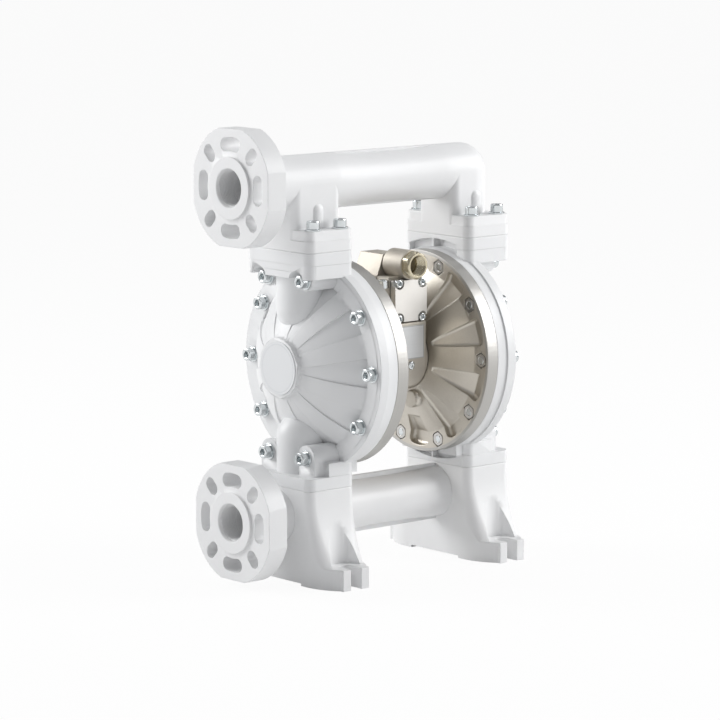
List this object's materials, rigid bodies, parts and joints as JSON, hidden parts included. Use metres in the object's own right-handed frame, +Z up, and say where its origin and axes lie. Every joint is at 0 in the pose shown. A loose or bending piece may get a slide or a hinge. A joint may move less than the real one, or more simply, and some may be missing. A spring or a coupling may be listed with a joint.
{
  "type": "air operated diaphragm pump",
  "caption": "Air operated double diaphragm pump: fluted fluid covers, ribbed air chambers, flanged and threaded suction and discharge manifolds, centre air valve.",
  "frame": {"origin": "on the floor, midway between the four foot slots, under the middle of the diaphragm rod", "axes": "+Z up, X along the diaphragm rod with the flanged ports facing -X, the air valve and air inlet facing -Y"},
  "size_m": [0.4093, 0.2608, 0.563],
  "materials": {
    "white_plastic": "satin moulded white",
    "cast_aluminium": "plated casting, machined rim",
    "zinc_steel": "bright zinc",
    "dark_steel": "plain steel",
    "nickel_brass": "pale plated brass",
    "label_film": "silver film, blank",
    "badge_plastic": "gloss white, blank",
    "rubber_black": "matt",
    "stainless": "turned",
    "aluminium_plain": "turned",
    "fluoroplastic": "smooth white",
    "bronze": "turned",
    "spool_plastic": "smooth",
    "silencer_plastic": "porous grey-white"
  },
  "bodies": {
    "housing": {"air_chamber_left": "cast_aluminium", "air_chamber_right": "cast_aluminium", "air_inlet_fitting": "nickel_brass", "badge_left": "badge_plastic", "badge_right": "badge_plastic", "block_gasket": "rubber_black", "block_screw": "zinc_steel", "centre_body": "cast_aluminium", "chamber_gasket_left": "rubber_black", "chamber_gasket_right": "rubber_black", "chamber_screws": "zinc_steel", "cover_nuts": "dark_steel", "cover_screws": "zinc_steel", "cover_washers": "zinc_steel", "fluid_cover_left": "white_plastic", "fluid_cover_right": "white_plastic", "inlet_bolts": "zinc_steel", "inlet_manifold": "white_plastic", "inlet_seat_left": "fluoroplastic", "inlet_seat_right": "fluoroplastic", "outlet_bolts": "zinc_steel", "outlet_manifold": "white_plastic", "outlet_seat_left": "fluoroplastic", "outlet_seat_right": "fluoroplastic", "outlet_washers": "zinc_steel", "plate_gasket": "rubber_black", "plate_screws": "zinc_steel", "rating_plate": "label_film", "rod_bush_left": "bronze", "rod_bush_right": "bronze", "rod_seal_left": "rubber_black", "rod_seal_right": "rubber_black", "seat_rings": "rubber_black", "shoulder_screw": "zinc_steel", "silencer": "silencer_plastic", "spool_caps": "aluminium_plain", "valve_block": "cast_aluminium", "valve_cover_plate": "cast_aluminium", "valve_sleeve": "aluminium_plain"},
    "rod_assembly": {"diaphragm_rod": "stainless", "inner_plate_left": "aluminium_plain", "inner_plate_right": "aluminium_plain", "outer_plate_left": "stainless", "outer_plate_right": "stainless", "rod_nut_left": "stainless", "rod_nut_right": "stainless", "diaphragm_left": "rubber_black", "diaphragm_right": "rubber_black"},
    "pilot_valve": {"pilot_spool": "spool_plastic"},
    "main_valve": {"main_spool": "spool_plastic"},
    "inlet_ball_left_body": {"inlet_ball_left": "fluoroplastic"},
    "inlet_ball_right_body": {"inlet_ball_right": "fluoroplastic"},
    "outlet_ball_left_body": {"outlet_ball_left": "fluoroplastic"},
    "outlet_ball_right_body": {"outlet_ball_right": "fluoroplastic"}
  },
  "joints": [
    {"name": "rod_slide", "type": "slide", "parent": "housing", "child": "rod_assembly", "axis": [1, 0, 0], "range_m": [-0.012, 0.012], "deforming": ["diaphragm_left", "diaphragm_right"]},
    {"name": "pilot_slide", "type": "slide", "parent": "housing", "child": "pilot_valve", "axis": [1, 0, 0], "range_m": [-0.004, 0.004]},
    {"name": "spool_slide", "type": "slide", "parent": "housing", "child": "main_valve", "axis": [1, 0, 0], "range_m": [-0.004, 0.004]},
    {"name": "inlet_ball_left_lift", "type": "slide", "parent": "housing", "child": "inlet_ball_left_body", "axis": [0, 0, 1], "range_m": [0, 0.008]},
    {"name": "inlet_ball_right_lift", "type": "slide", "parent": "housing", "child": "inlet_ball_right_body", "axis": [0, 0, 1], "range_m": [0, 0.008]},
    {"name": "outlet_ball_left_lift", "type": "slide", "parent": "housing", "child": "outlet_ball_left_body", "axis": [0, 0, 1], "range_m": [0, 0.008]},
    {"name": "outlet_ball_right_lift", "type": "slide", "parent": "housing", "child": "outlet_ball_right_body", "axis": [0, 0, 1], "range_m": [0, 0.008]}
  ],
  "couplings": [
    {"joint": "pilot_slide", "follows": "rod_slide", "ratio": 0.3333}
  ]
}
